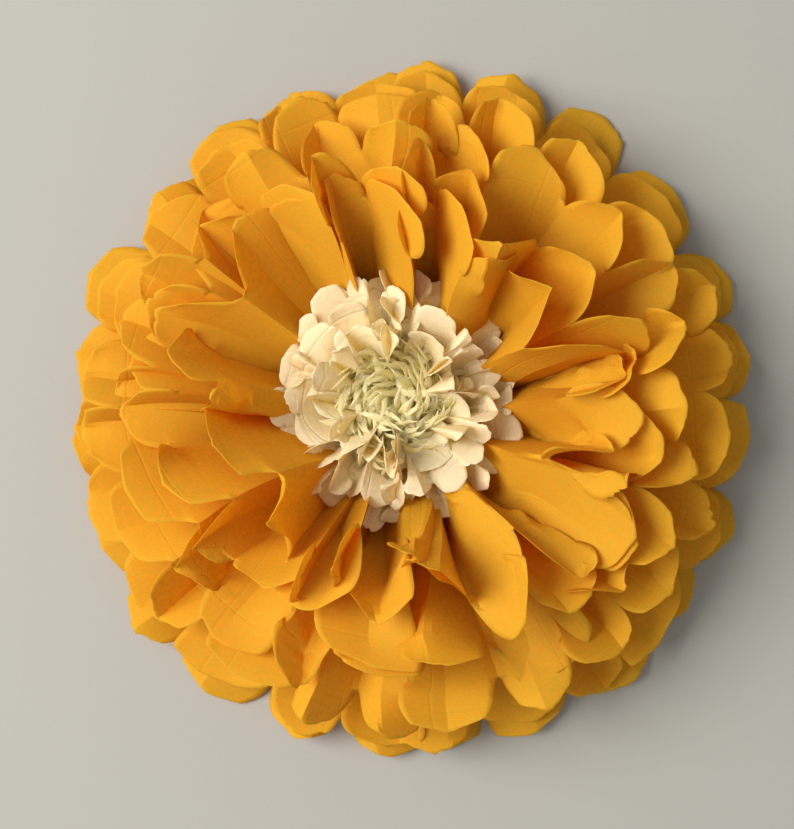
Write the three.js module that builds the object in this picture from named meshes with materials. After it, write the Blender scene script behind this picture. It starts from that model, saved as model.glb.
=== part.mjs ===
import * as THREE from 'three';

// A giant tissue paper flower, lying on its back. Millimetres, +Z along the flower's axis and up.
// The origin is on the surface it rests on, under the middle of the flower.
// Each sheet of paper is one closed thin solid: an accordion fold, tied at its waist by a wire and
// opened on both sides of the wire into two fans, which together make one full ring of petals.
// Tissue is far thinner than these solids; the wall is the least that stays sound as a solid.

// ---- driving dimensions ----
const waistHalf = 7;            // half the width of the bundle of folds where the wire ties it
const hubLift = 3.2;            // height of the lowest sheet's waist, over the wire
const wallYellow = 0.6;         // paper wall of the big sheets
const wallCentre = 0.5;         // paper wall of the centre's sheets
const fanGap = 1.25;            // half the slit between two fans, where the wire passes
const ballReach = 95;           // how far the centre presses the big sheets down
const openFrom = 0.55;          // a sheet starts to rise past the centre here, in ball reaches
const openTo = 1.25;            // and has its full rise here
const tipFrom = 0.6;            // the pleats change to their depth at the petals from here, ball reaches
const tipTo = 0.9;              // to here, in petal lengths
const curlFrom = 0.6;           // the petals turn outward from here to the tip, in petal lengths
const settle = [2, 45];         // the lowest sheet comes down off the wire along these
const petalRound = 0.7;         // how full the round of a petal's end is: lower is fuller
const meridianSteps = 60;

const yellow = {
  count: 6,
  pleats: 12,                   // folds across the sheet's width, so 24 petals a ring
  notch: 30,                    // depth of the cut between two petals
  lengths: [247, 240, 226, 216, 210, 204],             // waist to petal tip
  waists: [7, 7, 7, 7, 7, 7],                          // half the width of each tied bundle
  pitch: 1.6,                   // from one waist to the next, up the hub
  baseAngles: [0, 8, 12, 16, 19, 22],                  // rise beside the centre, degrees
  openAngles: [0, 9, 27, 46, 63, 77],                  // rise past the centre, degrees
  hubDepth: 0.5,                // half the height of a pleat at the waist
  ballDepth: 8,                 // and beside the centre
  tipDepths: [0, 6, 9, 12, 15, 17],                    // and at the petals
  curl: 14,                     // how far the tips turn outward, degrees
  flatFrom: 175,                // the lowest sheet lies flat on the surface from here out
  rows: [0.36, 0.7],            // facet rows between the waist and the petals
  fine: 6,                      // parts that a petal's end is drawn in
  coarse: 2,                    // parts that the rest of a pleat is drawn in
};

const ruffle = {
  count: 3,
  pleats: 14,
  notch: 14,
  lengths: [84, 86, 82],
  waists: [6.2, 5.5, 4.8],
  pitch: 1.9,
  baseAngles: [40, 49, 58],
  openAngles: [46, 56, 66],
  hubDepth: 0.3,
  ballDepth: 4,
  tipDepths: [5, 4.6, 4.2],
  curl: 16,
  rows: [0.45],
  fine: 4,
  coarse: 2,
};

const fringe = {
  count: 2,
  strips: 16,                   // cut strips to each fan
  band: 14,                     // uncut paper from the waist to the cuts
  lengths: [76, 70],
  waists: [4, 3.2],
  pitch: 1.9,
  baseAngles: [68, 77],
  openAngles: [72, 81],
  curl: 6,
  fill: 0.72,                   // strip width against the room it has round the ring
};

const wire = {
  radius: 0.5,
  sides: 6,
  steps: 80,
  tailLength: 50,
  tailTurns: 3,
  strandOffset: 0.68,           // from the tail's middle to each of its two strands
  tailHeight: 1.5,
  clearance: 1,                 // between the wire and the sides of the folds it ties
  neckIn: 2.6,                  // how much closer it runs beside the centre's narrower folds
  corner: 2,                    // size of its bends
};

const waistEdge = 0.001;        // along this or less is the straight edge of the tied waist
const radians = Math.PI / 180;
const smooth = THREE.MathUtils.smoothstep;
const mix = THREE.MathUtils.lerp;

// ---- the shape that a sheet takes when it is opened ----

// How far the pleats reach to each side of the sheet's mean surface, at a distance from the waist.
function pleatDepth(kind, i, along) {
  const opened = mix(kind.hubDepth, kind.ballDepth, smooth(along, 0, ballReach));
  const tip = kind.tipDepths[i];
  return mix(opened, tip, smooth(along, ballReach * tipFrom, kind.lengths[i] * tipTo));
}

// The meridian: radius, height and rise angle at a distance along the paper from the waist.
function meridian(kind, i, waistHeight, along) {
  const steps = meridianSteps;
  let radius = kind.waists[i];
  let height = waistHeight;
  let rise = kind.baseAngles[i];
  for (let n = 0; n < steps; n += 1) {
    const at = along * (n + 0.5) / steps;
    const past = smooth(at, ballReach * openFrom, ballReach * openTo);
    const curl = kind.curl * smooth(at, kind.lengths[i] * curlFrom, kind.lengths[i]);
    rise = mix(kind.baseAngles[i], kind.openAngles[i], past) - curl;
    radius += Math.cos(rise * radians) * along / steps;
    height += Math.sin(rise * radians) * along / steps;
  }
  return { radius, height, rise: rise * radians };
}

// The lowest big sheet lies on the surface: its valleys touch down, and its petals lie flat.
function groundMeridian(depth, along) {
  const radius = waistHalf + along;
  const half = wallYellow / 2 * steepness(depth, radius, yellow.pleats);
  const overWire = (hubLift - depth - half) * (1 - smooth(along, ...settle));
  return { radius, height: depth + half + overWire, rise: 0 };
}

// How much taller than its thickness a wall is, measured straight across the pleats.
function steepness(depth, radius, pleats) {
  return Math.hypot(1, 2 * depth * pleats / (Math.PI * radius));
}

// Mountain folds at even numbers across the sheet, valley folds at odd ones.
function foldWave(across) {
  const part = ((across % 2) + 2) % 2;
  return 1 - 2 * (part < 1 ? part : 2 - part);
}

// The place of a point of the sheet. along is signed: the fan towards +X is positive, and the fan
// towards -X negative. side is +1 or -1 for the paper's upper or lower face, 0 for its middle.
function sheetPoint(across, along, side, shape) {
  const distance = Math.abs(along);
  const depth = shape.depth(distance);
  const { radius, height, rise } = shape.meridian(distance, depth);
  const fan = along < 0 ? -1 : 1;
  const lift = depth * foldWave(across) + side * shape.wall / 2 * shape.steep(depth, radius);
  if (distance < waistEdge) {
    const y = radius * (2 * across / shape.pleats - 1);
    return new THREE.Vector3(fan * fanGap, y, height + lift);
  }
  const out = radius - Math.sin(rise) * lift;
  const slit = Math.asin(fanGap / out);
  const angle = -Math.PI / 2 + slit + across / shape.pleats * (Math.PI - 2 * slit);
  const x = fan * out * Math.cos(angle);
  return new THREE.Vector3(x, out * Math.sin(angle), height + Math.cos(rise) * lift);
}

// ---- closed thin solids ----

// A pattern is a flat net: points [across, along] and triangles that run counter-clockwise seen
// with across to the right of along. It becomes a closed solid with a wall round its free edges.
function paperSolid(pattern, shape) {
  const count = pattern.points.length;
  const position = [];
  for (const side of [1, -1]) {
    for (const [across, along] of pattern.points) {
      position.push(...sheetPoint(across, along, side, shape).toArray());
    }
  }
  const index = [];
  const edges = new Map();
  for (const [a, b, c] of pattern.triangles) {
    index.push(a, b, c, a + count, c + count, b + count);
    for (const [from, to] of [[a, b], [b, c], [c, a]]) {
      edges.set(`${from},${to}`, [from, to]);
    }
  }
  for (const [from, to] of edges.values()) {
    if (!edges.has(`${to},${from}`)) {
      index.push(from, from + count, to + count, from, to + count, to);
    }
  }
  const geometry = new THREE.BufferGeometry();
  geometry.setAttribute('position', new THREE.Float32BufferAttribute(position, 3));
  geometry.setIndex(index);
  return geometry;
}

// Joins two rows of points, each in order of across, into triangles, whichever is next in turn.
function joinRows(pattern, low, high) {
  let i = 0;
  let j = 0;
  const across = (n) => pattern.points[n][0];
  while (i < low.length - 1 || j < high.length - 1) {
    const lowNext = i < low.length - 1 ? across(low[i + 1]) : Infinity;
    const highNext = j < high.length - 1 ? across(high[j + 1]) : Infinity;
    if (lowNext < highNext || (lowNext === highNext && i <= j)) {
      pattern.triangles.push([low[i], low[i + 1], high[j]].reverse());
      i += 1;
    } else {
      pattern.triangles.push([low[i], high[j + 1], high[j]].reverse());
      j += 1;
    }
  }
}

function addRow(pattern, along, acrosses) {
  return acrosses.map((across) => pattern.points.push([across, along]) - 1);
}

function everyStep(count, step) {
  return Array.from({ length: Math.round(count / step) + 1 }, (_, n) => n * step);
}

// A pleated sheet with a round-ended petal on each pleat.
function petalPattern(kind, i) {
  const { rows, fine, coarse } = kind;
  const pattern = { points: [], triangles: [] };
  const length = kind.lengths[i];
  const neck = length - kind.notch;
  const waist = {};
  for (const fan of [1, -1]) {
    const joined = (inner, outer) => {
      if (fan > 0) joinRows(pattern, inner, outer);
      else joinRows(pattern, outer, inner);
    };
    let row = addRow(pattern, fan * waistEdge / 2, everyStep(kind.pleats, 1 / coarse));
    waist[fan] = row;
    for (const part of rows) {
      const next = addRow(pattern, fan * neck * part, everyStep(kind.pleats, 1 / coarse));
      joined(row, next);
      row = next;
    }
    const necks = addRow(pattern, fan * neck, everyStep(kind.pleats, 1 / fine));
    joined(row, necks);
    for (let petal = 0; petal < kind.pleats; petal += 1) {
      const low = necks.slice(petal * fine, (petal + 1) * fine + 1);
      const high = low.map((point, n) => {
        if (n === 0 || n === fine) return point;
        const bulge = Math.sin(Math.PI * n / fine) ** petalRound;
        const [across] = pattern.points[point];
        return pattern.points.push([across, fan * (neck + kind.notch * bulge)]) - 1;
      });
      const crown = high.slice(1, -1);
      joined(low, crown);
    }
  }
  joinRows(pattern, waist[-1], waist[1]);
  return pattern;
}

// A sheet with an uncut band beside its waist and straight strips beyond it.
function fringePattern(kind, i) {
  const pattern = { points: [], triangles: [] };
  const margin = (1 - kind.fill) / 2;
  const ends = [];
  for (let strip = 0; strip < kind.strips; strip += 1) {
    ends.push(strip + margin, strip + 1 - margin);
  }
  const waist = {};
  for (const fan of [1, -1]) {
    const joined = (inner, outer) => {
      if (fan > 0) joinRows(pattern, inner, outer);
      else joinRows(pattern, outer, inner);
    };
    waist[fan] = addRow(pattern, fan * waistEdge / 2, ends);
    const band = addRow(pattern, fan * kind.band, ends);
    joined(waist[fan], band);
    for (let strip = 0; strip < kind.strips; strip += 1) {
      const sides = ends.slice(strip * 2, strip * 2 + 2);
      const middle = addRow(pattern, fan * mix(kind.band, kind.lengths[i], 0.5), sides);
      joined(band.slice(strip * 2, strip * 2 + 2), middle);
      joined(middle, addRow(pattern, fan * kind.lengths[i], sides));
    }
  }
  joinRows(pattern, waist[-1], waist[1]);
  return pattern;
}

// ---- materials ----
const goldTissue = new THREE.MeshStandardMaterial({ color: 0xf0a826, roughness: 0.85, metalness: 0 });
const ivoryTissue = new THREE.MeshStandardMaterial({ color: 0xf0ead8, roughness: 0.85, metalness: 0 });
const fringeTissue = new THREE.MeshStandardMaterial({ color: 0xe9ead2, roughness: 0.85, metalness: 0 });
const floristWire = new THREE.MeshStandardMaterial({ color: 0x9aa08c, roughness: 0.4, metalness: 0.9 });

for (const material of [goldTissue, ivoryTissue, fringeTissue]) material.side = THREE.DoubleSide;

// ---- the pieces ----
const flower = new THREE.Group();

function addPiece(name, geometry, material) {
  const mesh = new THREE.Mesh(geometry, material);
  mesh.name = name;
  flower.add(mesh);
}

let waistHeight = hubLift;

function addSheets(kind, name, wall, material, makePattern) {
  for (let i = 0; i < kind.count; i += 1) {
    const waist = waistHeight;
    const onGround = kind === yellow && i === 0;
    const pleats = kind.pleats ?? kind.strips;
    const shape = {
      wall,
      pleats,
      steep: (depth, radius) => steepness(depth, radius, pleats),
      depth: (along) => {
        if (!kind.pleats) return 0;
        const full = pleatDepth(kind, i, along);
        return onGround ? full * (1 - smooth(along, ballReach, kind.flatFrom)) : full;
      },
      meridian: (along, depth) => (onGround
        ? groundMeridian(depth, along)
        : meridian(kind, i, waist, along)),
    };
    addPiece(`${name}_${i + 1}`, paperSolid(makePattern(kind, i), shape), material);
    waistHeight += kind.pitch;
  }
}

addSheets(yellow, 'yellow_sheet', wallYellow, goldTissue, petalPattern);
waistHeight += yellow.pitch;
addSheets(ruffle, 'ivory_sheet', wallCentre, ivoryTissue, petalPattern);
addSheets(fringe, 'fringe_sheet', wallCentre, fringeTissue, fringePattern);

// The wire goes once round the waist of the whole stack, in the slit between the fans, and its two
// ends are twisted together into a tail that lies under the lowest sheet.
function tieWire() {
  const side = waistHalf + wire.radius + wire.clearance;
  const topSide = side - wire.neckIn;
  const top = waistHeight;
  const bottom = wire.tailHeight;
  const shoulder = hubLift + yellow.count * yellow.pitch;
  const loop = [
    [0, -side, bottom + 2.2],
    [0, -side, shoulder],
    [0, -topSide, top - wire.corner],
    [0, -topSide + wire.corner, top - 0.1],
    [0, 0, top + 0.3],
    [0, topSide - wire.corner, top - 0.1],
    [0, topSide, top - wire.corner],
    [0, side, shoulder],
    [0, side, bottom + 1.6],
    [0, side - 2.2, bottom - 0.2],
    [0, 0, bottom - 0.6],
    [0, -side + 4, bottom - 0.5],
  ];
  const strand = (turn, part) => [
    wire.strandOffset * Math.cos(turn),
    -side - 1.5 - part * wire.tailLength,
    wire.tailHeight + wire.strandOffset * Math.sin(turn),
  ];
  const tailSteps = wire.tailTurns * 4;
  const upper = [];
  const lower = [];
  for (let n = 0; n <= tailSteps; n += 1) {
    const part = n / tailSteps;
    const turn = Math.PI / 2 + part * wire.tailTurns * 2 * Math.PI;
    upper.unshift(strand(turn, part));
    lower.push(strand(turn + Math.PI, part));
  }
  const route = [...upper, ...loop, ...lower].map((point) => new THREE.Vector3(...point));
  const path = new THREE.CatmullRomCurve3(route, false, 'centripetal');
  const section = new THREE.Shape();
  for (let n = 0; n < wire.sides; n += 1) {
    const angle = n / wire.sides * 2 * Math.PI;
    const point = [wire.radius * Math.cos(angle), wire.radius * Math.sin(angle)];
    if (n === 0) section.moveTo(...point);
    else section.lineTo(...point);
  }
  return new THREE.ExtrudeGeometry(section, { steps: wire.steps, extrudePath: path, bevelEnabled: false });
}

addPiece('tie_wire', tieWire(), floristWire);

export default flower;
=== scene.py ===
# giant tissue paper flower: the paper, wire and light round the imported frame
# the flower lies face up on the table at z = 0, and compass angles run from +X towards +Y
import math
import bpy
import numpy as np
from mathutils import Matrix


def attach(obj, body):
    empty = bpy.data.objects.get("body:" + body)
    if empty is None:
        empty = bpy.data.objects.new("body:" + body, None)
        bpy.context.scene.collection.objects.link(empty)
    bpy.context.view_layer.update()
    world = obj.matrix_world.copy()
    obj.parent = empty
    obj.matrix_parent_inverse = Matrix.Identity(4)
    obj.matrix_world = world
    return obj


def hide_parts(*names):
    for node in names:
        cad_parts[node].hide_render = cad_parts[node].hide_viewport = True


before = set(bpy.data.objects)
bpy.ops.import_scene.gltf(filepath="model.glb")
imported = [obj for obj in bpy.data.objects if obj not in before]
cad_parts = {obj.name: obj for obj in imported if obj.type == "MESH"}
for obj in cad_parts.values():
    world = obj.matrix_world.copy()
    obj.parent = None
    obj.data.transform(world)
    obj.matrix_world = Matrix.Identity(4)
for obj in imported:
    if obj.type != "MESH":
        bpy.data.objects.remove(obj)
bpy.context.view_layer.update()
mm = 0.001
print("frame loaded")

# the golden sheets, from the table up
gold = {
    "waistHalf": 7,              # half the bundle's width where the wire ties it, mm
    "lift": 3.2,                 # lowest waist above the table, mm
    "pitch": 1.6,                # from one waist to the next, mm
    "pressedTo": [98, 76],       # how far the centre presses the lowest and the top sheet down, mm
    "baseRise": [0, 8, 12, 16, 20, 24],    # rise of each sheet beside the centre, degrees
    "openRise": [0, 9, 26, 44, 59, 71],    # and past the centre
    "curl": 15,                  # how far petal ends turn outward, degrees
    "curlFrom": [140, 240],      # mm along the petal
    "gather": [-10, 85],         # mm along over which the gathered folds open out
    "spread": [30, 170],         # mm along over which the petals grow unlike each other
    "foldDepth": 0.65,           # deepest zigzag, a share of the way along the petal
    "onTable": True,             # the lowest sheet lies flat
    "spacing": 0.024,            # how far sheets stand off each other, a share of the way along
    "sheets": 6,
    "pleats": 12,                # pleats across one fan, so 24 petals a ring
    "pleatWidth": 63.5,          # mm
    "lengths": [247, 241, 231, 218, 203, 188],   # waist to petal end, mm
    "notch": 31,                 # cut between two petals, mm
    "columns": 12,               # mesh divisions across a pleat
    "bandRows": 34,              # from the waist to the cuts
    "lobeRows": 11,              # and from there to the petal end
    "straightShare": 0.88,       # share of the slack width that stays a straight fold
    "unevenness": 0.36,          # how unlike each other the petals' widths are
    "overlap": 3.5,              # how far the two fans run past each other, degrees
    "ragged": 0.009,             # unevenness of the scissor cut, a share of the pleat's width
    "bowed": 0.82,               # share of petals cupped with their hollow inward
    "creased": 0.88,             # share with a crease down the middle
    "deepest": 0.35,             # deepest cupping, a share of the pleat's width
    "keptFold": 0.3,             # how far creased petal ends stay folded, a share of the width
    "stray": 0.045,              # how far petals stand out of their ring, a share of the way in
    "petalCurl": 10,             # how far petal ends roll outward or inward, mm
    "swing": 9,                  # how far petal ends lean sideways, mm
    "kinked": 0.5,               # share of petals bent across
    "gathers": 1.1,              # height of the small gathers that run out from the tie, mm
    "settle": 130,               # rounds of relaxing the paper to its own cut size
    "quickSettle": 60,
    "pressed": 24,               # rounds of smoothing the spots that crumple
    "wall": 0.25 * mm,           # shown thickness of the paper
    "seed": 4,
}

# by compass angle in degrees: how upright the petals stand there
gold["upright"] = [
    (0, 0.98), (40, 0.96), (75, 0.92), (100, 0.80), (125, 0.56), (165, 0.52),
    (190, 0.66), (215, 0.9), (250, 1.0), (300, 1.0), (330, 1.0), (360, 0.98)]

# how much the petals' widths differ there
gold["squeezed"] = [
    (0, 1), (80, 1), (110, 0.6), (190, 0.6), (205, 1.5), (245, 1.5), (270, 1), (360, 1)]

# petals bent one by one: sheet from the table up, compass angle, then what differs from the rest
# kink: how sharply it bends outward, at the share kinkAt of its length, kinkSlant m askew
# bow: cupping, with its hollow inward below 0; lift: further up or down; wide: times its width
gold["posed"] = [
    (5, 330, {"kink": 1.1, "kinkAt": 0.66, "bow": 0.15, "lift": 0.05, "wide": 1.4}),
    (5, 27, {"kink": 0.6, "kinkAt": 0.7, "creased": True, "bow": 0.4, "wide": 1.15}),
    (5, 75, {"kink": 0.6, "kinkAt": 0.72, "bow": -0.6, "wide": 1.2}),
    (5, 293, {"kink": 0.9, "kinkAt": 0.66, "bow": 0.9, "kinkSlant": 0.02}),
    (4, 310, {"kink": 0.7, "kinkAt": 0.7, "bow": -0.6, "wide": 1.25}),
    (4, 350, {"kink": 0.4, "kinkAt": 0.75, "bow": -0.9}),
    (4, 90, {"kink": 0.0, "bow": -1.0}),
    (3, 289, {"kink": 0.8, "kinkAt": 0.66, "bow": -0.4}),
    (3, 238, {"kink": 0.9, "kinkAt": 0.7, "bow": -0.5}),
    (5, 145, {"kink": 0.0, "bow": -0.9, "creased": True, "lift": -0.1, "wide": 1.25}),
    (5, 122, {"kink": 0.0, "bow": -0.9, "creased": True, "lift": -0.08, "wide": 1.2}),
    (5, 168, {"kink": 0.0, "bow": -0.9, "creased": True, "lift": -0.08, "wide": 1.2}),
    (4, 186, {"kink": 0.0, "bow": -0.9, "creased": True, "lift": -0.06, "wide": 1.2}),
    (5, 100, {"kink": 0.0, "bow": -0.9, "creased": True}),
    (4, 130, {"kink": 0.0, "bow": -0.9, "creased": True}),
    (5, 262, {"kink": 0.5, "kinkAt": 0.74, "bow": -0.9, "wide": 1.25}),
    (5, 248, {"kink": 0.0, "bow": -0.6}),
    (5, 352, {"kink": 0.15, "kinkAt": 0.75, "bow": -0.8}),
    (5, 8, {"kink": 0.0, "bow": -0.8}),
    (4, 268, {"kink": 0.5, "kinkAt": 0.72, "bow": -0.4, "creased": True, "wide": 1.25}),
]

# the ivory ruffles: narrower pleats of the same kind, standing round the centre; keys as for gold
ruffle = {
    "waistHalf": 6,
    "lift": 15,
    "pitch": 1.7,
    "pressedTo": [30, 30],
    "baseRise": [30, 44, 58],
    "openRise": [53, 66, 77],
    "curl": 58,
    "curlFrom": [52, 100],
    "gather": [-6, 22],
    "spread": [8, 60],
    "foldDepth": 0.3,
    "onTable": False,
    "spacing": 0.03,
    "sheets": 3,
    "pleats": 14,
    "pleatWidth": 31,
    "lengths": [105, 100, 93],
    "notch": 13,
    "columns": 8,
    "bandRows": 20,
    "lobeRows": 8,
    "straightShare": 0.75,
    "unevenness": 0.4,
    "overlap": 8,
    "ragged": 0.006,
    "bowed": 0.6,
    "creased": 0.4,
    "deepest": 0.42,
    "keptFold": 0.14,
    "stray": 0.06,
    "petalCurl": 7,
    "swing": 5,
    "kinked": 0.6,
    "gathers": 0.8,
    "squeezed": [(0, 1), (360, 1)],
    "upright": [(0, 0.9), (60, 0.9), (120, 0.75), (165, 0.6), (210, 0.9), (260, 1), (300, 0.85),
                (330, 0.7), (360, 0.9)],
    "posed": [
        (2, 318, {"wide": 2.6, "bow": 0.3, "kink": 0, "creased": True}),
        (1, 308, {"wide": 1.8, "bow": 0.5, "kink": 0}),
        (1, 172, {"wide": 2.2, "bow": -0.5, "kink": 0}),
        (0, 160, {"wide": 2.2, "bow": 0.5, "kink": 0}),
        (1, 138, {"wide": 2.0, "bow": -0.6}),
        (2, 122, {"wide": 2.2, "bow": -0.8}),
        (2, 252, {"wide": 1.9, "bow": -0.8}),
        (2, 60, {"wide": 1.7, "bow": -0.9})],
    "lean": [-13, 9],            # the ball leans this far at its top, mm
    "settle": 90,
    "quickSettle": 45,
    "pressed": 12,
    "wall": 0.25 * mm,
    "seed": 5,
}


# 0 below low, 1 above high, and an eased rise between
def smoothStep(value, low, high):
    t = np.clip((value - low) / (high - low), 0, 1)
    return t * t * (3 - 2 * t)


# a value looked up by compass angle
def sectorValue(angle, table):
    degrees = np.degrees(angle) % 360
    return np.interp(degrees, [a for a, v in table], [v for a, v in table])


# meridians of the family of nested sheets, from 0 flat on the table to 1 round the centre
class Meridians:
    def __init__(self, spec):
        self.levels = np.linspace(0, 1.2, 73)
        longest = spec["lengths"][0] * 1.12 * mm
        self.along = np.linspace(0, longest, 160)
        level, along = np.meshgrid(self.levels, self.along, indexing="ij")
        pressedTo = np.interp(level, [0.3, 1], spec["pressedTo"]) * mm
        past = smoothStep(along, pressedTo * 0.5, pressedTo * 1.3)
        steps = np.linspace(0, 1, len(spec["openRise"]))
        base = np.interp(level, steps, spec["baseRise"])
        opened = np.interp(level, steps, spec["openRise"]) + 60 * np.maximum(level - 1, 0)
        low, high = np.array(spec["curlFrom"]) * mm
        curl = spec["curl"] * smoothStep(along, low, high)
        if spec["onTable"]:
            curl = curl * np.minimum(1, level * 4)
        rise = np.radians(base + (opened - base) * past - curl)
        step = self.along[1]
        self.rise = rise
        self.radius = spec["waistHalf"] * mm + np.cumsum(np.cos(rise), 1) * step
        self.height = np.cumsum(np.sin(rise), 1) * step

    def at(self, level, along):
        i = np.clip(level / self.levels[1], 0, len(self.levels) - 1.001)
        j = np.clip(along / self.along[1], 0, len(self.along) - 1.001)
        i0, j0 = i.astype(int), j.astype(int)
        fi, fj = i - i0, j - j0

        def look(table):
            top = table[i0, j0] * (1 - fj) + table[i0, j0 + 1] * fj
            low = table[i0 + 1, j0] * (1 - fj) + table[i0 + 1, j0 + 1] * fj
            return top * (1 - fi) + low * fi
        return look(self.radius), look(self.height), look(self.rise)


# flat cut of the pleats, in metres: x across from each pleat's middle, y along from the waist
# a petal's end is cut with scissors, so it is a round made of short straight snips
def flatCut(spec, rng):
    columns, width, notch = spec["columns"], spec["pleatWidth"], spec["notch"]
    shape = (spec["sheets"], 2, spec["pleats"])
    t = np.linspace(-1, 1, columns + 1)
    x = np.broadcast_to(t * width / 2, shape + (spec["bandRows"] + 1, columns + 1))
    neck = np.array(spec["lengths"])[:, None, None, None, None] - notch
    share = (np.arange(spec["bandRows"] + 1) / spec["bandRows"])[:, None] ** 0.9
    band = np.stack([x, neck * share + 0 * x], -1)
    q = (np.arange(1, spec["lobeRows"] + 1) / spec["lobeRows"])[:, None]
    bulge = rng.uniform(1.9, 2.7, shape)[..., None, None]
    askew = 0.055
    lean = rng.normal(0, askew, shape)[..., None, None] * width
    reach = rng.normal(0, askew, shape)[..., None, None] * width
    # the sides make most of the lobe's height and the snipped crown the rest
    sideShare, crownShare = 0.72, 0.28
    h = notch * sideShare * (1 - (1 - q) ** 1.25)
    half = width / 2 * (1 - (h / notch) ** bulge) ** 0.55
    corners = np.array([-1, -0.7, -0.34, 0, 0.3, 0.66, 1])
    snips = np.interp(t, corners, 1 - np.abs(corners) ** 1.3)
    uneven = rng.normal(0, spec["ragged"], shape + (1, columns + 1)) * width
    uneven = uneven * (1 - np.abs(t)) ** 0.3
    crown = (notch * crownShare) * snips * q ** 2 + uneven * q ** 4
    across = t * half + lean * q ** 1.5
    lobe = np.stack([across, neck + h + crown + reach * q ** 2 + 0 * across], -1)
    return np.concatenate([band, lobe], 3) * mm


# the sheets were folded in one stack, so petals over one another differ little
def nested(values):
    return 0.6 * values[-1:] + 0.55 * values


# what each petal does, drawn once for the whole flower: arrays by sheet, fan and pleat
def petalHabits(spec, rng):
    shape = (spec["sheets"], 2, spec["pleats"])
    level = np.linspace(0, 1, spec["sheets"])[:, None, None] * np.ones(shape)
    habits = {"level": level}
    habits["lift"] = rng.normal(0, spec["stray"], shape) * (0.25 + level)
    habits["bow"] = np.where(rng.random(shape) < spec["bowed"], -1, 1) * rng.uniform(0.6, 1, shape)
    habits["creased"] = rng.random(shape) < spec["creased"]
    habits["ridge"] = rng.choice([4, 5, 6, 6, 7, 8], shape) / 12
    if spec["onTable"]:
        habits["bow"][0] = np.abs(habits["bow"][0])
    habits["curl"] = rng.normal(0, spec["petalCurl"], shape) * mm * (0.4 + level)
    kinked = rng.random(shape) < spec["kinked"]
    kink = rng.uniform(-0.5, 0.35, shape)
    # only the top sheet has room to bend inward
    kink = np.where(kink > 0, kink * (1 + 0.7 * level), np.where(level < 1, kink * 0.25, kink))
    habits["kink"] = np.where(kinked, kink, 0)
    habits["kinkAt"] = rng.uniform(0.62, 0.84, shape)
    habits["kinkSlant"] = rng.uniform(-0.4, 0.4, shape) * spec["pleatWidth"] * mm
    even = (np.arange(spec["pleats"]) + 0.5) / spec["pleats"] * math.pi
    compass = even + (np.arange(2) * math.pi - math.pi / 2)[:, None]
    squeeze = sectorValue(compass, spec["squeezed"]) * np.minimum(1, 0.35 + level)
    uneven = nested(np.clip(rng.normal(0, 1, shape), -1.4, 1.4))
    weights = np.exp(uneven * spec["unevenness"] * squeeze)
    habits["wide"] = np.ones(shape)
    for sheet, angle, changes in spec["posed"]:
        apart = np.abs((compass - math.radians(angle) + math.pi) % (2 * math.pi) - math.pi)
        fan, pleat = np.unravel_index(np.argmin(apart), apart.shape)
        for key, value in changes.items():
            habits[key][sheet, fan, pleat] = value
    wide = habits["wide"]
    weights *= wide * np.maximum(1, np.roll(wide, -1, 0)) ** 0.7
    edges = np.cumsum(weights, -1) / weights.sum(-1, keepdims=True)
    edges = np.concatenate([np.zeros(shape[:2] + (1,)), edges], -1)
    evenEdges = np.arange(spec["pleats"] + 1) / spec["pleats"] + 0 * edges
    fan = np.arange(2)[None, :, None] * math.pi - math.pi / 2
    past = math.radians(spec["overlap"])
    habits["angleWaist"] = evenEdges * math.pi + fan
    habits["angleRim"] = edges * (math.pi + 2 * past) - past + fan
    sides = np.concatenate([habits["lift"][..., :1], habits["lift"], habits["lift"][..., -1:]], -1)
    edgeLift = (sides[..., 1:] + sides[..., :-1]) / 2
    # where the two fans meet, one runs over the other
    fanOver = 0.03
    edgeLift[..., 0] += fanOver
    edgeLift[..., -1] -= fanOver
    habits["edgeLift"] = edgeLift
    habits["edgeDepth"] = rng.uniform(0.75, 1.15, shape[:2] + (spec["pleats"] + 1,))
    habits["swing"] = nested(rng.normal(0, spec["swing"], shape)) * mm * (0.2 + level)
    return habits


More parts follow.
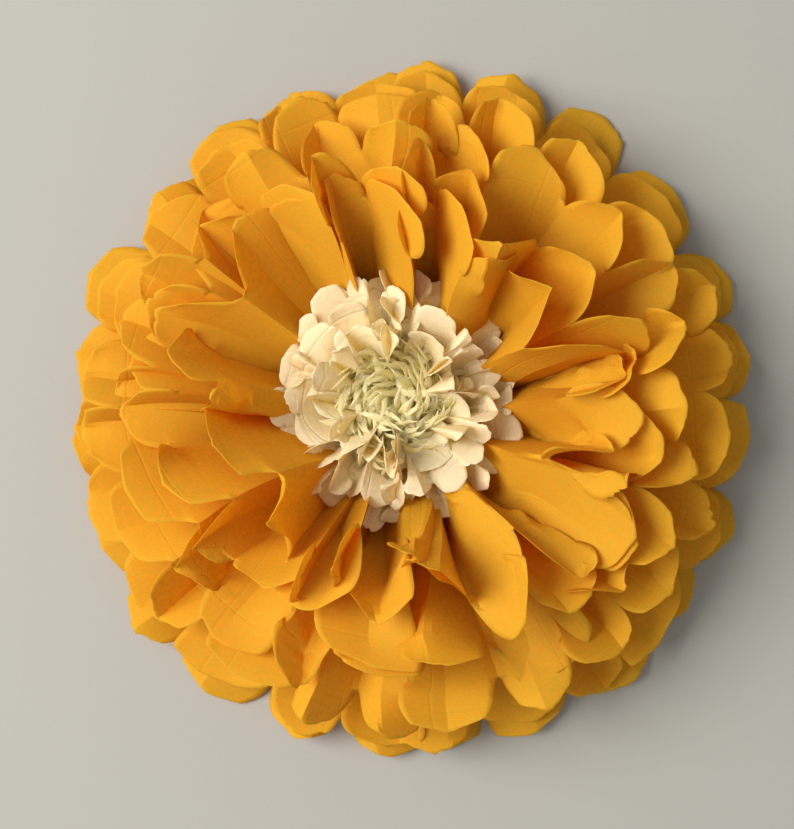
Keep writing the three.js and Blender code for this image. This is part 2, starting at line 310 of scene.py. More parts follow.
# where the folded and opened paper would lie if it were pushed there, before it settles
def openedPaper(spec, cut, habits, rng):
    y = cut[..., 1]
    width = spec["pleatWidth"] * mm
    t = np.clip(cut[..., 0] / width + 0.5, 0, 1)
    length = (np.array(spec["lengths"]) * mm)[:, None, None, None, None]
    level = habits["level"][..., None, None]
    meridians = Meridians(spec)
    spread = smoothStep(y, spec["spread"][0] * mm, spec["spread"][1] * mm)
    edges = {}
    for name, pick in (("left", slice(None, -1)), ("right", slice(1, None))):
        waist = habits["angleWaist"][..., pick][..., None, None]
        rim = habits["angleRim"][..., pick][..., None, None]
        angle = waist * (1 - spread) + rim * spread
        here = level * sectorValue(angle, spec["upright"])
        here = np.clip(here + habits["edgeLift"][..., pick][..., None, None] * spread, 0, 1)
        radius, height, rise = meridians.at(here, y)
        edges[name] = [angle, radius, height, rise]
    arc = np.abs(edges["right"][0] - edges["left"][0]) * (edges["left"][1] + edges["right"][1]) / 2
    gather = smoothStep(y, spec["gather"][0] * mm, spec["gather"][1] * mm)
    onTable = (level == 0) & spec["onTable"]
    slack = np.sqrt(np.clip((width * gather * spec["straightShare"]) ** 2 - arc ** 2, 0, None)) / 2
    room = np.where(onTable, 0.3 * y * (1 - smoothStep(y, 0.1, 0.2)), spec["foldDepth"] * y)
    depth = np.minimum(slack, 1.5 * mm + room)
    order = np.arange(spec["sheets"])[:, None, None, None, None]
    waistHeight = (spec["lift"] + order * spec["pitch"]) * mm
    points, sign = {}, 1 - 2 * (np.arange(spec["pleats"] + 1) % 2)
    for name, pick in (("left", slice(None, -1)), ("right", slice(1, None))):
        angle, radius, height, rise = edges[name]
        off = depth * (sign * habits["edgeDepth"])[..., pick][..., None, None]
        lying = waistHeight * (1 - smoothStep(y, 0.002, 0.045)) + depth + 0.6 * mm
        base = np.where(onTable, lying, waistHeight + height)
        out = radius - np.sin(rise) * off
        points[name] = np.stack([out * np.cos(angle), out * np.sin(angle),
                                 base + np.cos(rise) * off], -1)
    middle = points["left"] * (1 - t[..., None]) + points["right"] * t[..., None]
    angle = edges["left"][0] * (1 - t) + edges["right"][0] * t
    rise = edges["left"][3] * (1 - t) + edges["right"][3] * t
    upward = np.stack([-np.sin(rise) * np.cos(angle), -np.sin(rise) * np.sin(angle),
                       np.cos(rise)], -1)
    chord = np.linalg.norm(points["right"] - points["left"], axis=-1)
    bow = np.sqrt(0.375 * width * gather * np.clip(width * gather - chord, 0, None))
    ridge = habits["ridge"][..., None, None]
    side = np.where(t < ridge, (ridge - t) / ridge, (t - ridge) / (1 - ridge))
    profile = 1 - side ** np.where(habits["creased"], 1.0, 2.2)[..., None, None]
    folded = np.where(habits["creased"], 1.6, 1.0)[..., None, None]
    cupping = habits["bow"][..., None, None]
    lift = np.minimum(bow * folded, spec["deepest"] * width) * profile * cupping
    # the free end of a creased petal stays folded along its crease
    freeEnd = smoothStep(y, length - 2.6 * spec["notch"] * mm, length - 0.3 * spec["notch"] * mm)
    raised = np.where(cupping < 0, 1 - profile, profile)
    amount = np.minimum(1, np.abs(habits["bow"])) * habits["creased"] * (1 - 0.7 * habits["level"])
    lift += spec["keptFold"] * width * amount[..., None, None] * raised * freeEnd
    lift -= habits["curl"][..., None, None] * smoothStep(y, length * 0.72, length)
    # lobes lie over and under their neighbours
    shingle = 1 - 2 * (np.arange(spec["pleats"]) % 2)[:, None, None]
    lift += shingle * 0.045 * width * smoothStep(y, length - 1.5 * spec["notch"] * mm, length)
    slant = habits["kinkSlant"][..., None, None] * (t - 0.5)
    hinge = length * habits["kinkAt"][..., None, None] + slant
    # the lowest sheet has no room to bend
    lift -= habits["kink"][..., None, None] * np.clip(y - hinge, 0, None) * np.minimum(1, level * 3)
    # gathers run out from the tie
    waves = rng.uniform(0, 2 * math.pi, habits["lift"].shape + (2,))[..., None, None, :]
    gathers = np.sin(5 * t * math.pi + waves[..., 0]) + np.sin(8 * t * math.pi + waves[..., 1])
    gathered = smoothStep(y, length * 0.04, length * 0.16)
    gathered = gathered * (1 - smoothStep(y, length * 0.3, length * 0.52))
    lift += spec["gathers"] * mm * gathers * gathered * (t * (1 - t) * 4)
    sideways = np.stack([-np.sin(angle), np.cos(angle), 0 * angle], -1)
    swing = habits["swing"][..., None, None] * smoothStep(y, length * 0.45, length)
    place = middle + upward * lift[..., None] + sideways * swing[..., None]
    # creases stay sharp: along a petal's ridge, and across it at its hinge
    atRidge = (np.abs(t - ridge) < 0.05) & habits["creased"][..., None, None]
    atHinge = (np.abs(y - hinge) < 4 * mm) & (habits["kink"] != 0)[..., None, None]
    soft = {-2: np.where(atRidge, 0.0, 1.0), -3: np.where(atHinge, 0.2, 1.0)}
    return place, upward, soft


# smooths only the spots where the paper turns more sharply than a crease
def pressSmooth(position):
    facing = np.cross(np.gradient(position, axis=-2), np.gradient(position, axis=-3))
    facing /= np.linalg.norm(facing, axis=-1, keepdims=True) + 1e-12
    every, ahead, behind = slice(None), slice(1, None), slice(None, -1)
    alongAcross = (((Ellipsis, ahead, every), (Ellipsis, behind, every)),
                   ((Ellipsis, ahead), (Ellipsis, behind)))
    # how far a spot's neighbours are turned from it: 0 not at all, 1 right over
    rough = np.zeros(position.shape[:-1])
    for a, b in alongAcross:
        turned = (1 - (facing[a + (every,)] * facing[b + (every,)]).sum(-1)) / 2
        rough[a] = np.maximum(rough[a], turned)
        rough[b] = np.maximum(rough[b], turned)
    wide = rough.copy()
    for a, b in alongAcross:
        wide[a] = np.maximum(wide[a], rough[b])
        wide[b] = np.maximum(wide[b], rough[a])
    edged = [(0, 0)] * (position.ndim - 3) + [(1, 1), (1, 1), (0, 0)]
    around = np.pad(position, edged, mode="edge")
    mean = (around[..., 2:, 1:-1, :] + around[..., :-2, 1:-1, :]
            + around[..., 1:-1, 2:, :] + around[..., 1:-1, :-2, :]) / 4
    amount = 0.6 * smoothStep(wide, 0.16, 0.42)[..., None]
    # the tied end stays as folded
    tiedRows = 8
    amount[..., :tiedRows, :, :] = 0
    position += amount * (mean - position)


# neighbouring pleats share their fold up to the notch
def joinPleats(position, band):
    seam = (position[:, :, :-1, :band, -1] + position[:, :, 1:, :band, 0]) / 2
    position[:, :, :-1, :band, -1] = seam
    position[:, :, 1:, :band, 0] = seam


# lets the folded paper find its own cut size again, so panels stay sheets that don't stretch
def settlePaper(cut, home, upward, soft, spec, rounds):
    band = spec["bandRows"] + 1
    position = home.copy()
    gather = smoothStep(cut[..., 1], spec["gather"][0] * mm, spec["gather"][1] * mm)
    every = slice(None)

    # index pairs of the cells that are dr rows and dc columns apart
    def pair(dr, dc):
        def span(d, first):
            if d == 0:
                return every
            low, high = slice(None, -abs(d)), slice(abs(d), None)
            return low if first == (d > 0) else high
        return ((Ellipsis, span(dr, True), span(dc, True), every),
                (Ellipsis, span(dr, False), span(dc, False), every))

    links = []
    for dr, dc, pull in ((0, 1, 1), (1, 0, 1), (1, 1, 0.6), (1, -1, 0.6)):
        a, b = pair(dr, dc)
        rest = np.linalg.norm(cut[b] - cut[a], axis=-1)
        if dc:
            rest = rest * gather[..., None][a][..., 0]
        links.append((a, b, rest, pull))
    bends = []
    for axis, reach, stiff in ((-3, 1, 0.4), (-3, 3, 0.3), (-3, 6, 0.15),
                               (-2, 1, 0.4), (-2, 2, 0.3), (-2, 3, 0.15)):
        count = position.shape[axis]
        inner = np.arange(reach, count - reach)
        least = np.take(soft[axis], inner, axis + 1)
        for shift in range(1 - reach, reach):
            least = np.minimum(least, np.take(soft[axis], inner + shift, axis + 1))
        bends.append((axis, reach, stiff * least[..., None], inner, count))
    gap = spec["pitch"] * 0.6 * mm + spec["spacing"] * cut[1:, ..., 1]
    tuck = 0.4 * smoothStep(np.linspace(0, 1, band), 0.1, 0.35)[:, None]
    for n in range(rounds):
        push = np.zeros_like(position)
        weight = np.zeros(position.shape[:-1] + (1,))
        for a, b, rest, pull in links:
            apart = position[b] - position[a]
            long = np.linalg.norm(apart, axis=-1) + 1e-9
            fix = (0.5 * pull * (1 - rest / long))[..., None] * apart
            push[a] += fix
            push[b] -= fix
            weight[a] += pull
            weight[b] += pull
        position += 1.1 * push / np.maximum(weight, 1)
        # paper bends in wide curves, except at its creases
        facing = np.cross(np.gradient(position, axis=-2), np.gradient(position, axis=-3))
        facing /= np.linalg.norm(facing, axis=-1, keepdims=True) + 1e-12
        for axis, reach, stiff, inner, count in bends:
            ahead = np.take(position, np.arange(2 * reach, count), axis)
            behind = np.take(position, np.arange(count - 2 * reach), axis)
            sag = (ahead + behind) / 2 - np.take(position, inner, axis)
            normal = np.take(facing, inner, axis)
            fix = stiff * (sag * normal).sum(-1, keepdims=True) * normal
            if axis == -3:
                position[..., reach:-reach, :, :] += fix
            else:
                position[..., reach:-reach, :] += fix
        position += (0.05 * (1 - n / rounds) + 0.006) * (home - position)
        # sheets lie one on another and on the table
        if n < rounds - 3:
            over = ((position[1:] - position[:-1]) * upward[1:]).sum(-1)
            short = np.clip(gap - over, 0, None)[..., None] * upward[1:] * 0.5
            position[1:] += short
            position[:-1] -= short
        position[..., 2] = np.maximum(position[..., 2], 0.6 * mm)
        joinPleats(position, band)
        # the shared fold runs smoothly
        for c in (0, -1):
            fold = position[..., :band, c, :]
            between = (fold[..., 2:, :] + fold[..., :-2, :]) / 2
            fold[..., 1:-1, :] += 0.2 * (between - fold[..., 1:-1, :])
        # the last pleats of the two fans are tucked together
        for a, b in (((slice(None), 0, -1), (slice(None), 1, 0)),
                     ((slice(None), 1, -1), (slice(None), 0, 0))):
            last, first = position[a][:, :band, -1], position[b][:, :band, 0]
            join = tuck * (first - last)
            for c in range(5):
                position[a + (slice(None, band), -1 - c)] += join * (1 - c / 5)
                position[b + (slice(None, band), c)] -= join * (1 - c / 5)
        position[..., 0, :, :] = home[..., 0, :, :]
    for n in range(spec["pressed"]):
        pressSmooth(position)
        joinPleats(position, band)
    return position


# one sheet as a single-layer mesh; finishPaper gives it its thin wall
def paperMesh(name, petals, spec, flat):
    fans, pleats, rows, columns = petals.shape[:4]
    ids = np.arange(fans * pleats * rows * columns).reshape(fans, pleats, rows, columns)
    band = spec["bandRows"] + 1
    ids[:, 1:, :band, 0] = ids[:, :-1, :band, -1]
    quads = np.stack([ids[..., :-1, :-1], ids[..., :-1, 1:], ids[..., 1:, 1:], ids[..., 1:, :-1]],
                     -1).reshape(-1, 4)
    used, quads = np.unique(quads, return_inverse=True)
    quads = quads.reshape(-1, 4)
    points = petals.reshape(-1, 3)[used]
    uv = (flat[..., :2] + np.stack([np.broadcast_to(
        np.arange(pleats)[None, :, None, None] * spec["pleatWidth"] * mm, flat.shape[:-1]),
        np.zeros(flat.shape[:-1])], -1)).reshape(-1, 2)[used]
    mesh = bpy.data.meshes.new(name)
    mesh.from_pydata(points.tolist(), [], quads.tolist())
    layer = mesh.uv_layers.new(name="cut")
    loops = np.zeros(len(mesh.loops), int)
    mesh.loops.foreach_get("vertex_index", loops)
    layer.data.foreach_set("uv", uv[loops].ravel())
    mesh.polygons.foreach_set("use_smooth", [True] * len(mesh.polygons))
    mesh.set_sharp_from_angle(angle=math.radians(14))
    mesh.update()
    piece = bpy.data.objects.new(name, mesh)
    bpy.context.collection.objects.link(piece)
    return piece


# a thin wall for the paper, and the frame calls for one piece
def finishPaper(piece, wall, node):
    thin = piece.modifiers.new("wall", "SOLIDIFY")
    thin.thickness = wall
    thin.offset = 0
    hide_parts(node)
    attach(piece, "root")


# the ball of ruffles and fringe leans over, more towards its top
def leanOver(points, lean):
    toTop = smoothStep(points[..., 2], 15 * mm, 75 * mm)[..., None]
    points[..., :2] += toTop * np.array(lean) * mm


# an sRGB hex code as a linear colour
def linearColour(code):
    out = []
    for n in (0, 2, 4):
        v = int(code[n:n + 2], 16) / 255
        out.append(v / 12.92 if v <= 0.04045 else ((v + 0.055) / 1.055) ** 2.4)
    return (*out, 1)


# one node with its settings, its plain values and its links
def addNode(tree, kind, settings=None, inputs=None, links=None):
    node = tree.nodes.new(kind)
    for key, value in (settings or {}).items():
        setattr(node, key, value)
    for key, value in (inputs or {}).items():
        node.inputs[key].default_value = value
    for key, source in (links or {}).items():
        tree.links.new(source, node.inputs[key])
    return node


# one maths node; each value is a number or another node's output
def maths(tree, operation, *values):
    node = tree.nodes.new("ShaderNodeMath")
    node.operation = operation
    for socket, value in zip(node.inputs, values):
        if isinstance(value, (int, float)):
            socket.default_value = value
        else:
            tree.links.new(value, socket)
    return node.outputs[0]


def newMaterial(name):
    material = bpy.data.materials.new(name)
    material.use_nodes = True
    material.node_tree.nodes.clear()
    return material, material.node_tree


# tissue paper that light shines through: soft fibre clouds, fine fibres and handling creases
def tissue(name, front, through, share, crumple):
    material, tree = newMaterial(name)
    cut = addNode(tree, "ShaderNodeUVMap", {"uv_map": "cut"}).outputs[0]
    clouds = addNode(tree, "ShaderNodeTexNoise", {}, {
        "Scale": 260, "Detail": 3, "Roughness": 0.6}, {"Vector": cut}).outputs["Fac"]
    longWays = addNode(tree, "ShaderNodeMapping", {}, {"Scale": (1, 0.28, 1)}, {"Vector": cut})
    fibres = addNode(tree, "ShaderNodeTexNoise", {}, {
        "Scale": 1500, "Detail": 2, "Roughness": 0.7}, {"Vector": longWays.outputs[0]}).outputs["Fac"]
    mixed = addNode(tree, "ShaderNodeMath", {"operation": "MULTIPLY_ADD"}, {1: 0.5},
                    {0: fibres, 2: clouds}).outputs[0]
    tone = addNode(tree, "ShaderNodeMapRange", {}, {
        "From Min": 0.5, "From Max": 1.0, "To Min": 0.87, "To Max": 1.06},
        {"Value": mixed}).outputs[0]
    surface = addNode(tree, "ShaderNodeVectorMath", {"operation": "SCALE"}, {
        0: linearColour(front)[:3]}, {"Scale": tone}).outputs[0]
    inside = addNode(tree, "ShaderNodeVectorMath", {"operation": "SCALE"}, {
        0: linearColour(through)[:3]}, {"Scale": tone}).outputs[0]
    creases = addNode(tree, "ShaderNodeTexNoise", {"noise_type": "RIDGED_MULTIFRACTAL"}, {
        "Scale": 14, "Detail": 3, "Roughness": 0.5, "Lacunarity": 2.2, "Distortion": 0.6},
        {"Vector": cut}).outputs["Fac"]
    # the straight folds the sheet was packed with, a little slanted to the pleats
    packed = addNode(tree, "ShaderNodeMapping", {}, {"Rotation": (0, 0, math.radians(3)),
                                                     "Location": (0.021, 0.034, 0)}, {"Vector": cut})
    across = addNode(tree, "ShaderNodeSeparateXYZ", {}, {}, {0: packed.outputs[0]})
    lines = []
    for axis, apart in ((0, 95 * mm), (1, 127 * mm)):
        near = maths(tree, "PINGPONG", across.outputs[axis], apart / 2)
        lines.append(maths(tree, "MINIMUM", maths(tree, "DIVIDE", near, 1.4 * mm), 1))
    line = maths(tree, "MULTIPLY", lines[0], lines[1])
    height = maths(tree, "ADD", creases, maths(tree, "MULTIPLY", line, 0.35))
    wrinkled = addNode(tree, "ShaderNodeBump", {}, {"Strength": crumple, "Distance": 1.2 * mm},
                       {"Height": height})
    grain = addNode(tree, "ShaderNodeBump", {}, {"Strength": 0.25, "Distance": 0.1 * mm},
                    {"Height": fibres, "Normal": wrinkled.outputs[0]}).outputs[0]
    body = addNode(tree, "ShaderNodeBsdfPrincipled", {}, {
        "Roughness": 0.72, "Specular IOR Level": 0.25}, {"Base Color": surface, "Normal": grain})
    glow = addNode(tree, "ShaderNodeBsdfTranslucent", {}, {}, {"Color": inside, "Normal": grain})
    thinness = addNode(tree, "ShaderNodeMapRange", {}, {
        "From Min": 0.3, "From Max": 0.7, "To Min": share - 0.08, "To Max": share + 0.08},
        {"Value": clouds})
    both = addNode(tree, "ShaderNodeMixShader", {}, {}, {
        0: thinness.outputs[0], 1: body.outputs[0], 2: glow.outputs[0]})
    addNode(tree, "ShaderNodeOutputMaterial", {}, {}, {"Surface": both.outputs[0]})
    return material


# gold tissue paper
def goldTissue():
    return tissue("goldTissue", "f4c937", "f8c228", 0.53, 0.4)


# ivory tissue paper, two or three sheets folded together
def ivoryTissue():
    return tissue("ivoryTissue", "fff8dc", "fff3c4", 0.44, 0.75)


# pale tissue paper of the fringe, faintly green
def fringeTissue():
    return tissue("fringeTissue", "fffbde", "fff9cc", 0.56, 0.3)


# folds, settles and builds every sheet of one kind
def makeSheets(spec, name, material, node):
    rounds = spec["settle"]
    rng = np.random.default_rng(spec["seed"])
    flat = flatCut(spec, rng)
    habits = petalHabits(spec, rng)
    home, upward, soft = openedPaper(spec, flat, habits, rng)
    settled = settlePaper(flat, home, upward, soft, spec, rounds)
    if "lean" in spec:
        leanOver(settled, spec["lean"])
    for k in range(spec["sheets"]):
        piece = paperMesh(f"{name}_{k + 1}", settled[k], spec, flat[k])
        piece.data.materials.append(material)
        finishPaper(piece, spec["wall"], f"{node}_{k + 1}")
    print(name, "made", len(settled), "sheets")


makeSheets(gold, "gold_paper", goldTissue(), "yellow_sheet")
makeSheets(ruffle, "ivory_paper", ivoryTissue(), "ivory_sheet")

# the fringe: a band cut into narrow strips, each strip curled over a scissor blade
fringe = {
    "strips": [240, 190],        # outer sheet, inner sheet
    "lengths": [87, 79],         # mm
    "width": 6.4,                # mm
    "leans": [37, 22],           # how far the outermost strips of each sheet lean out, degrees
    "start": [17.5, 19],         # height the strips leave the tie, mm
    "hub": 4,                    # radius of the bundle of strips at the tie, mm
    "curls": [-150, -70, 60, 120, 190, 260],     # degrees the strip ends turn over
    "twists": [40, -70, 100, -30, 60, -120],     # and how far each of those twists
    "curlFrom": 0.55,            # share of the length where curling starts
    "rows": 14,                  # mesh divisions along a strip
    "lean": [-13, 9],            # mm, with the ball
    "wall": 0.2 * mm,
    "seeds": [3, 8],
    "goldenTurn": 2.39996,       # from one strip to the next, radians
}


# one paper strip standing at the origin, bent over and twisted towards its end
def curledStrip(tree, length, width, curl, twist):
    grid = addNode(tree, "GeometryNodeMeshGrid", {}, {"Size X": 1, "Size Y": 1, "Vertices X": 3,
                                                     "Vertices Y": fringe["rows"]})
    place = addNode(tree, "GeometryNodeInputPosition")
    apart = addNode(tree, "ShaderNodeSeparateXYZ", {}, {}, {0: place.outputs[0]})
    q = maths(tree, "ADD", apart.outputs[1], 0.5)
    taper = maths(tree, "SUBTRACT", 1, maths(tree, "POWER", q, 7))
    x = maths(tree, "MULTIPLY", maths(tree, "MULTIPLY", apart.outputs[0], width), taper)
    straight = maths(tree, "MINIMUM", q, fringe["curlFrom"])
    bent = maths(tree, "MAXIMUM", maths(tree, "SUBTRACT", q, fringe["curlFrom"]), 0)
    rate = math.radians(curl) / (1 - fringe["curlFrom"])
    turn = maths(tree, "MULTIPLY", bent, rate)
    out = maths(tree, "DIVIDE", maths(tree, "SUBTRACT", 1, maths(tree, "COSINE", turn)), rate)
    up = maths(tree, "ADD", straight, maths(tree, "DIVIDE", maths(tree, "SINE", turn), rate))
    spin = maths(tree, "MULTIPLY", maths(tree, "MULTIPLY", q, q), math.radians(twist))
    fold = maths(tree, "MULTIPLY", maths(tree, "ABSOLUTE", x), -0.35)
    y = maths(tree, "ADD", maths(tree, "MULTIPLY", out, length), fold)
    cosine, sine = maths(tree, "COSINE", spin), maths(tree, "SINE", spin)
    turnedX = maths(tree, "SUBTRACT", maths(tree, "MULTIPLY", x, cosine),
                    maths(tree, "MULTIPLY", y, sine))
    turnedY = maths(tree, "ADD", maths(tree, "MULTIPLY", x, sine),
                    maths(tree, "MULTIPLY", y, cosine))
    whole = addNode(tree, "ShaderNodeCombineXYZ", {}, {}, {
        0: turnedX, 1: turnedY, 2: maths(tree, "MULTIPLY", up, length)})
    onSheet = addNode(tree, "ShaderNodeCombineXYZ", {}, {}, {
        0: maths(tree, "ADD", maths(tree, "MULTIPLY", apart.outputs[0], width), math.radians(curl)),
        1: maths(tree, "MULTIPLY", q, length)})
    marked = addNode(tree, "GeometryNodeStoreNamedAttribute", {
        "data_type": "FLOAT2", "domain": "CORNER"}, {"Name": "cut"}, {
        "Geometry": grid.outputs["Mesh"], "Value": onSheet.outputs[0]})
    return addNode(tree, "GeometryNodeSetPosition", {}, {}, {
        "Geometry": marked.outputs[0], "Position": whole.outputs[0]})


# a named input of a node tree
def socketIn(tree, name, kind, value=None):
    socket = tree.interface.new_socket(name=name, in_out="INPUT", socket_type=kind)
    if value is not None:
        socket.default_value = value
    return socket.identifier


# strips set out in a spiral, each leaning out more the further it is from the middle
def fringeTree():
    tree = bpy.data.node_groups.new("curledFringe", "GeometryNodeTree")
    tree.interface.new_socket(name="Geometry", in_out="OUTPUT", socket_type="NodeSocketGeometry")
    names = {
        "Strips": "NodeSocketInt", "Length": "NodeSocketFloat", "Width": "NodeSocketFloat",
        "Lean": "NodeSocketFloat", "Hub": "NodeSocketFloat", "Start": "NodeSocketFloat",
        "Seed": "NodeSocketInt", "Material": "NodeSocketMaterial"}
    ids = {name: socketIn(tree, name, kind) for name, kind in names.items()}
    given = addNode(tree, "NodeGroupInput").outputs
    index = addNode(tree, "GeometryNodeInputIndex").outputs[0]
    ranked = maths(tree, "DIVIDE", maths(tree, "ADD", index, 0.5), given["Strips"])
    share = maths(tree, "SQRT", ranked)
    wobble = addNode(tree, "FunctionNodeRandomValue", {"data_type": "FLOAT"}, {2: -0.3, 3: 0.3},
                     {"Seed": given["Seed"]}).outputs[1]
    compass = maths(tree, "ADD", maths(tree, "MULTIPLY", index, fringe["goldenTurn"]),
                    wobble)
    out = maths(tree, "MULTIPLY", share, given["Hub"])
    where = addNode(tree, "ShaderNodeCombineXYZ", {}, {}, {
        0: maths(tree, "MULTIPLY", out, maths(tree, "COSINE", compass)),
        1: maths(tree, "MULTIPLY", out, maths(tree, "SINE", compass)), 2: given["Start"]})
    points = addNode(tree, "GeometryNodePoints", {}, {}, {
        "Count": given["Strips"], "Position": where.outputs[0]})
    strips = addNode(tree, "GeometryNodeGeometryToInstance")
    for curl, twist in zip(fringe["curls"], fringe["twists"]):
        strip = curledStrip(tree, given["Length"], given["Width"], curl, twist)
        tree.links.new(strip.outputs[0], strips.inputs[0])
    pick = addNode(tree, "FunctionNodeRandomValue", {"data_type": "INT"},
                   {4: 0, 5: len(fringe["curls"]) - 1}, {"Seed": given["Seed"]})
    stray = addNode(tree, "FunctionNodeRandomValue", {"data_type": "FLOAT"}, {2: -0.07, 3: 0.07},
                    {"Seed": given["Seed"]})
    tilt = maths(tree, "ADD", maths(tree, "MULTIPLY", share, given["Lean"]), stray.outputs[1])
    roll = addNode(tree, "FunctionNodeRandomValue", {"data_type": "FLOAT"}, {2: -0.12, 3: 0.12},
                   {"Seed": given["Seed"]})
    facing = addNode(tree, "ShaderNodeCombineXYZ", {}, {}, {
        0: maths(tree, "MULTIPLY", tilt, -1), 1: roll.outputs[1],
        2: maths(tree, "SUBTRACT", compass, math.pi / 2)})
    size = addNode(tree, "FunctionNodeRandomValue", {"data_type": "FLOAT"}, {2: 0.8, 3: 1.08},
                   {"Seed": given["Seed"]})
    standing = addNode(tree, "GeometryNodeInstanceOnPoints", {}, {"Pick Instance": True}, {
        "Points": points.outputs[0], "Instance": strips.outputs[0],
        "Instance Index": pick.outputs[2], "Rotation": facing.outputs[0],
        "Scale": size.outputs[1]})
    real = addNode(tree, "GeometryNodeRealizeInstances", {}, {}, {0: standing.outputs[0]})
    painted = addNode(tree, "GeometryNodeSetMaterial", {}, {}, {
        "Geometry": real.outputs[0], "Material": given["Material"]})
    addNode(tree, "NodeGroupOutput", {}, {}, {0: painted.outputs[0]})
    return tree, ids


# runs a node tree on a piece once and keeps the mesh it gives
def bake(name, tree, ids, values, start=None):
    piece = bpy.data.objects.new(name, start or bpy.data.meshes.new(name))
    bpy.context.collection.objects.link(piece)
    modifier = piece.modifiers.new("nodes", "NODES")
    modifier.node_group = tree
    for key, value in values.items():
        modifier[ids[key]] = value
    graph = bpy.context.evaluated_depsgraph_get()
    mesh = bpy.data.meshes.new_from_object(piece.evaluated_get(graph))
    piece.modifiers.remove(modifier)
    piece.data = mesh
    mesh.name = name
    mesh.polygons.foreach_set("use_smooth", [True] * len(mesh.polygons))
    return piece


tree, ids = fringeTree()
fringeMaterial = fringeTissue()
for k in range(len(fringe["strips"])):
    piece = bake(f"fringe_paper_{k + 1}", tree, ids, {
        "Strips": fringe["strips"][k], "Length": fringe["lengths"][k] * mm,
        "Width": fringe["width"] * mm, "Lean": math.radians(fringe["leans"][k]),
        "Hub": fringe["hub"] * mm, "Start": fringe["start"][k] * mm, "Seed": fringe["seeds"][k],
        "Material": fringeMaterial})
    points = np.zeros(len(piece.data.vertices) * 3)
    piece.data.vertices.foreach_get("co", points)
    points = points.reshape(-1, 3)
    leanOver(points, fringe["lean"])
    piece.data.vertices.foreach_set("co", points.ravel())
    finishPaper(piece, fringe["wall"], f"fringe_sheet_{k + 1}")
print("fringe made")

# the florist wire: once round the waist of the heap, then both ends twisted into a tail
wire = {
    "thick": 1.0,                # mm
    "loop": [(0, -8.5, 3.7), (0, -8.5, 12.8), (0, -5.9, 20.1), (0, -3.9, 22.0), (0, 0, 22.4),
             (0, 3.9, 22.0), (0, 5.9, 20.1), (0, 8.5, 12.8), (0, 8.5, 3.1), (0, 6.3, 1.3),
             (0, 0, 0.9), (0, -4.5, 1.0)],       # mm
    "tailFrom": 10.0,            # mm from the middle
    "tailLength": 50,            # mm
    "tailTurns": 9,              # of the strands round each other
    "strandApart": 0.6,          # mm from the tail's middle to each strand's
    "tailHeight": 1.5,           # mm above the table
    "steps": 120,                # points along a strand
    "sides": 10,                 # of the wire's section
}


# the loop and the twisted tail as round tubes
def wireTree():
    tree = bpy.data.node_groups.new("twistedWire", "GeometryNodeTree")
    tree.interface.new_socket(name="Geometry", in_out="OUTPUT", socket_type="NodeSocketGeometry")
    names = {
        "Loop": "NodeSocketGeometry", "Thick": "NodeSocketFloat", "From": "NodeSocketFloat",
        "Length": "NodeSocketFloat", "Turns": "NodeSocketFloat", "Apart": "NodeSocketFloat",
        "Height": "NodeSocketFloat", "Material": "NodeSocketMaterial"}
    ids = {name: socketIn(tree, name, kind) for name, kind in names.items()}
    given = addNode(tree, "NodeGroupInput").outputs
    loop = addNode(tree, "GeometryNodeMeshToCurve", {}, {}, {"Mesh": given["Loop"]})
    rounded = addNode(tree, "GeometryNodeCurveSplineType", {"spline_type": "BEZIER"}, {},
                      {"Curve": loop.outputs[0]})
    eased = addNode(tree, "GeometryNodeCurveSetHandles", {"handle_type": "AUTO"}, {},
                    {"Curve": rounded.outputs[0]})
    joined = addNode(tree, "GeometryNodeJoinGeometry")
    tree.links.new(eased.outputs[0], joined.inputs[0])
    # two strands wound round each other
    for start in (math.pi / 2, -math.pi / 2):
        line = addNode(tree, "GeometryNodeCurvePrimitiveLine", {}, {"End": (0, 1, 0)})
        fine = addNode(tree, "GeometryNodeResampleCurve", {}, {"Count": wire["steps"]},
                       {"Curve": line.outputs[0]})
        part = addNode(tree, "GeometryNodeSplineParameter").outputs["Factor"]
        turn = maths(tree, "ADD", maths(tree, "MULTIPLY", maths(
            tree, "MULTIPLY", part, given["Turns"]), 2 * math.pi), start)
        along = maths(tree, "ADD", given["From"], maths(tree, "MULTIPLY", part, given["Length"]))
        place = addNode(tree, "ShaderNodeCombineXYZ", {}, {}, {
            0: maths(tree, "MULTIPLY", maths(tree, "COSINE", turn), given["Apart"]),
            1: maths(tree, "MULTIPLY", along, -1),
            2: maths(tree, "ADD", given["Height"], maths(
                tree, "MULTIPLY", maths(tree, "SINE", turn), given["Apart"]))})
        wound = addNode(tree, "GeometryNodeSetPosition", {}, {}, {
            "Geometry": fine.outputs[0], "Position": place.outputs[0]})
        tree.links.new(wound.outputs[0], joined.inputs[0])
    ring = addNode(tree, "GeometryNodeCurvePrimitiveCircle", {}, {"Resolution": wire["sides"]},
                   {"Radius": maths(tree, "MULTIPLY", given["Thick"], 0.5)})
    tube = addNode(tree, "GeometryNodeCurveToMesh", {}, {"Fill Caps": True}, {
        "Curve": joined.outputs[0], "Profile Curve": ring.outputs[0]})
    real = addNode(tree, "GeometryNodeRealizeInstances", {}, {}, {0: tube.outputs[0]})
    painted = addNode(tree, "GeometryNodeSetMaterial", {}, {}, {
        "Geometry": real.outputs[0], "Material": given["Material"]})
    addNode(tree, "NodeGroupOutput", {}, {}, {0: painted.outputs[0]})
    return tree, ids


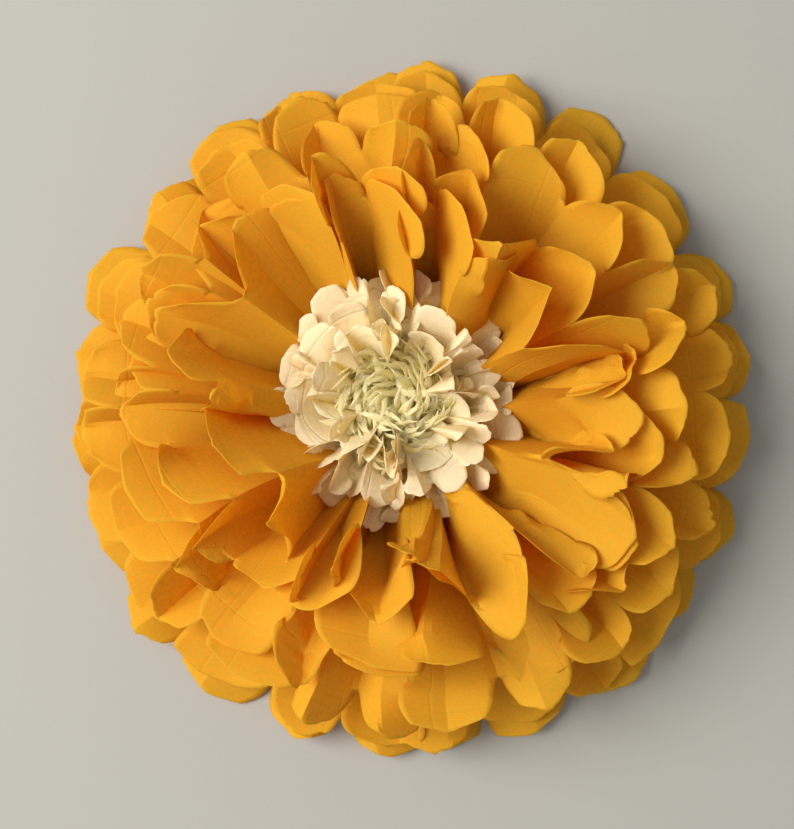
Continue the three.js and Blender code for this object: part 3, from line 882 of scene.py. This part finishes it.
# soft steel florist wire, a little dulled
def floristWire():
    material, tree = newMaterial("floristWire")
    place = addNode(tree, "ShaderNodeTexCoord").outputs["Object"]
    dull = addNode(tree, "ShaderNodeTexNoise", {}, {"Scale": 900, "Detail": 3}, {"Vector": place})
    rough = addNode(tree, "ShaderNodeMapRange", {}, {"To Min": 0.32, "To Max": 0.5},
                    {"Value": dull.outputs["Fac"]})
    body = addNode(tree, "ShaderNodeBsdfPrincipled", {}, {
        "Base Color": linearColour("b4b2ad"), "Metallic": 1.0}, {"Roughness": rough.outputs[0]})
    addNode(tree, "ShaderNodeOutputMaterial", {}, {}, {"Surface": body.outputs[0]})
    return material


tree, ids = wireTree()
outline = bpy.data.meshes.new("loop")
outline.from_pydata([[c * mm for c in point] for point in wire["loop"]],
                    [(n, n + 1) for n in range(len(wire["loop"]) - 1)], [])
piece = bake("tie_twist", tree, ids, {
    "Thick": wire["thick"] * mm, "From": wire["tailFrom"] * mm,
    "Length": wire["tailLength"] * mm, "Turns": float(wire["tailTurns"]),
    "Apart": wire["strandApart"] * mm, "Height": wire["tailHeight"] * mm,
    "Material": floristWire()}, outline)
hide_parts("tie_wire")
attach(piece, "root")
print("wire made")

# floor, light and camera
floorMesh = bpy.data.meshes.new("floor")
floorMesh.from_pydata([(-3, -3, 0), (3, -3, 0), (3, 3, 0), (-3, 3, 0)], [], [(0, 1, 2, 3)])
floor = bpy.data.objects.new("floor", floorMesh)
bpy.context.collection.objects.link(floor)
floorMaterial = bpy.data.materials.new("paleFloor")
floorMaterial.use_nodes = True
floorMaterial.node_tree.nodes["Principled BSDF"].inputs["Base Color"].default_value = \
    linearColour("a8a8a4")
floorMaterial.node_tree.nodes["Principled BSDF"].inputs["Roughness"].default_value = 0.9
floorMesh.materials.append(floorMaterial)

world = bpy.data.worlds.new("room")
bpy.context.scene.world = world
world.use_nodes = True
world.node_tree.nodes["Background"].inputs["Color"].default_value = linearColour("e2e4de")
world.node_tree.nodes["Background"].inputs["Strength"].default_value = 0.52

windowData = bpy.data.lights.new("window", "AREA")
windowData.shape = "RECTANGLE"
windowData.size, windowData.size_y = 2.2, 2.4
windowData.energy = 194
windowData.color = linearColour("fffaf2")[:3]
window = bpy.data.objects.new("window", windowData)
bpy.context.collection.objects.link(window)
window.location = (-2.5, 0.4, 2.75)
window.rotation_euler = (-window.location).to_track_quat("-Z", "Y").to_euler()

cameraData = bpy.data.cameras.new("camera")
camera = bpy.data.objects.new("camera", cameraData)
bpy.context.collection.objects.link(camera)
bpy.context.scene.camera = camera
cameraHeight = 1.25
cameraData.sensor_fit = "HORIZONTAL"
cameraData.sensor_width = 36
viewWidth = 0.590
cameraData.lens = 36 * cameraHeight / viewWidth
camera.location = (-0.0104, -0.0012, cameraHeight)
bpy.context.scene.view_settings.view_transform = "Standard"
bpy.context.scene.cycles.max_bounces = 16
bpy.context.scene.cycles.diffuse_bounces = 10
bpy.context.scene.cycles.transmission_bounces = 10
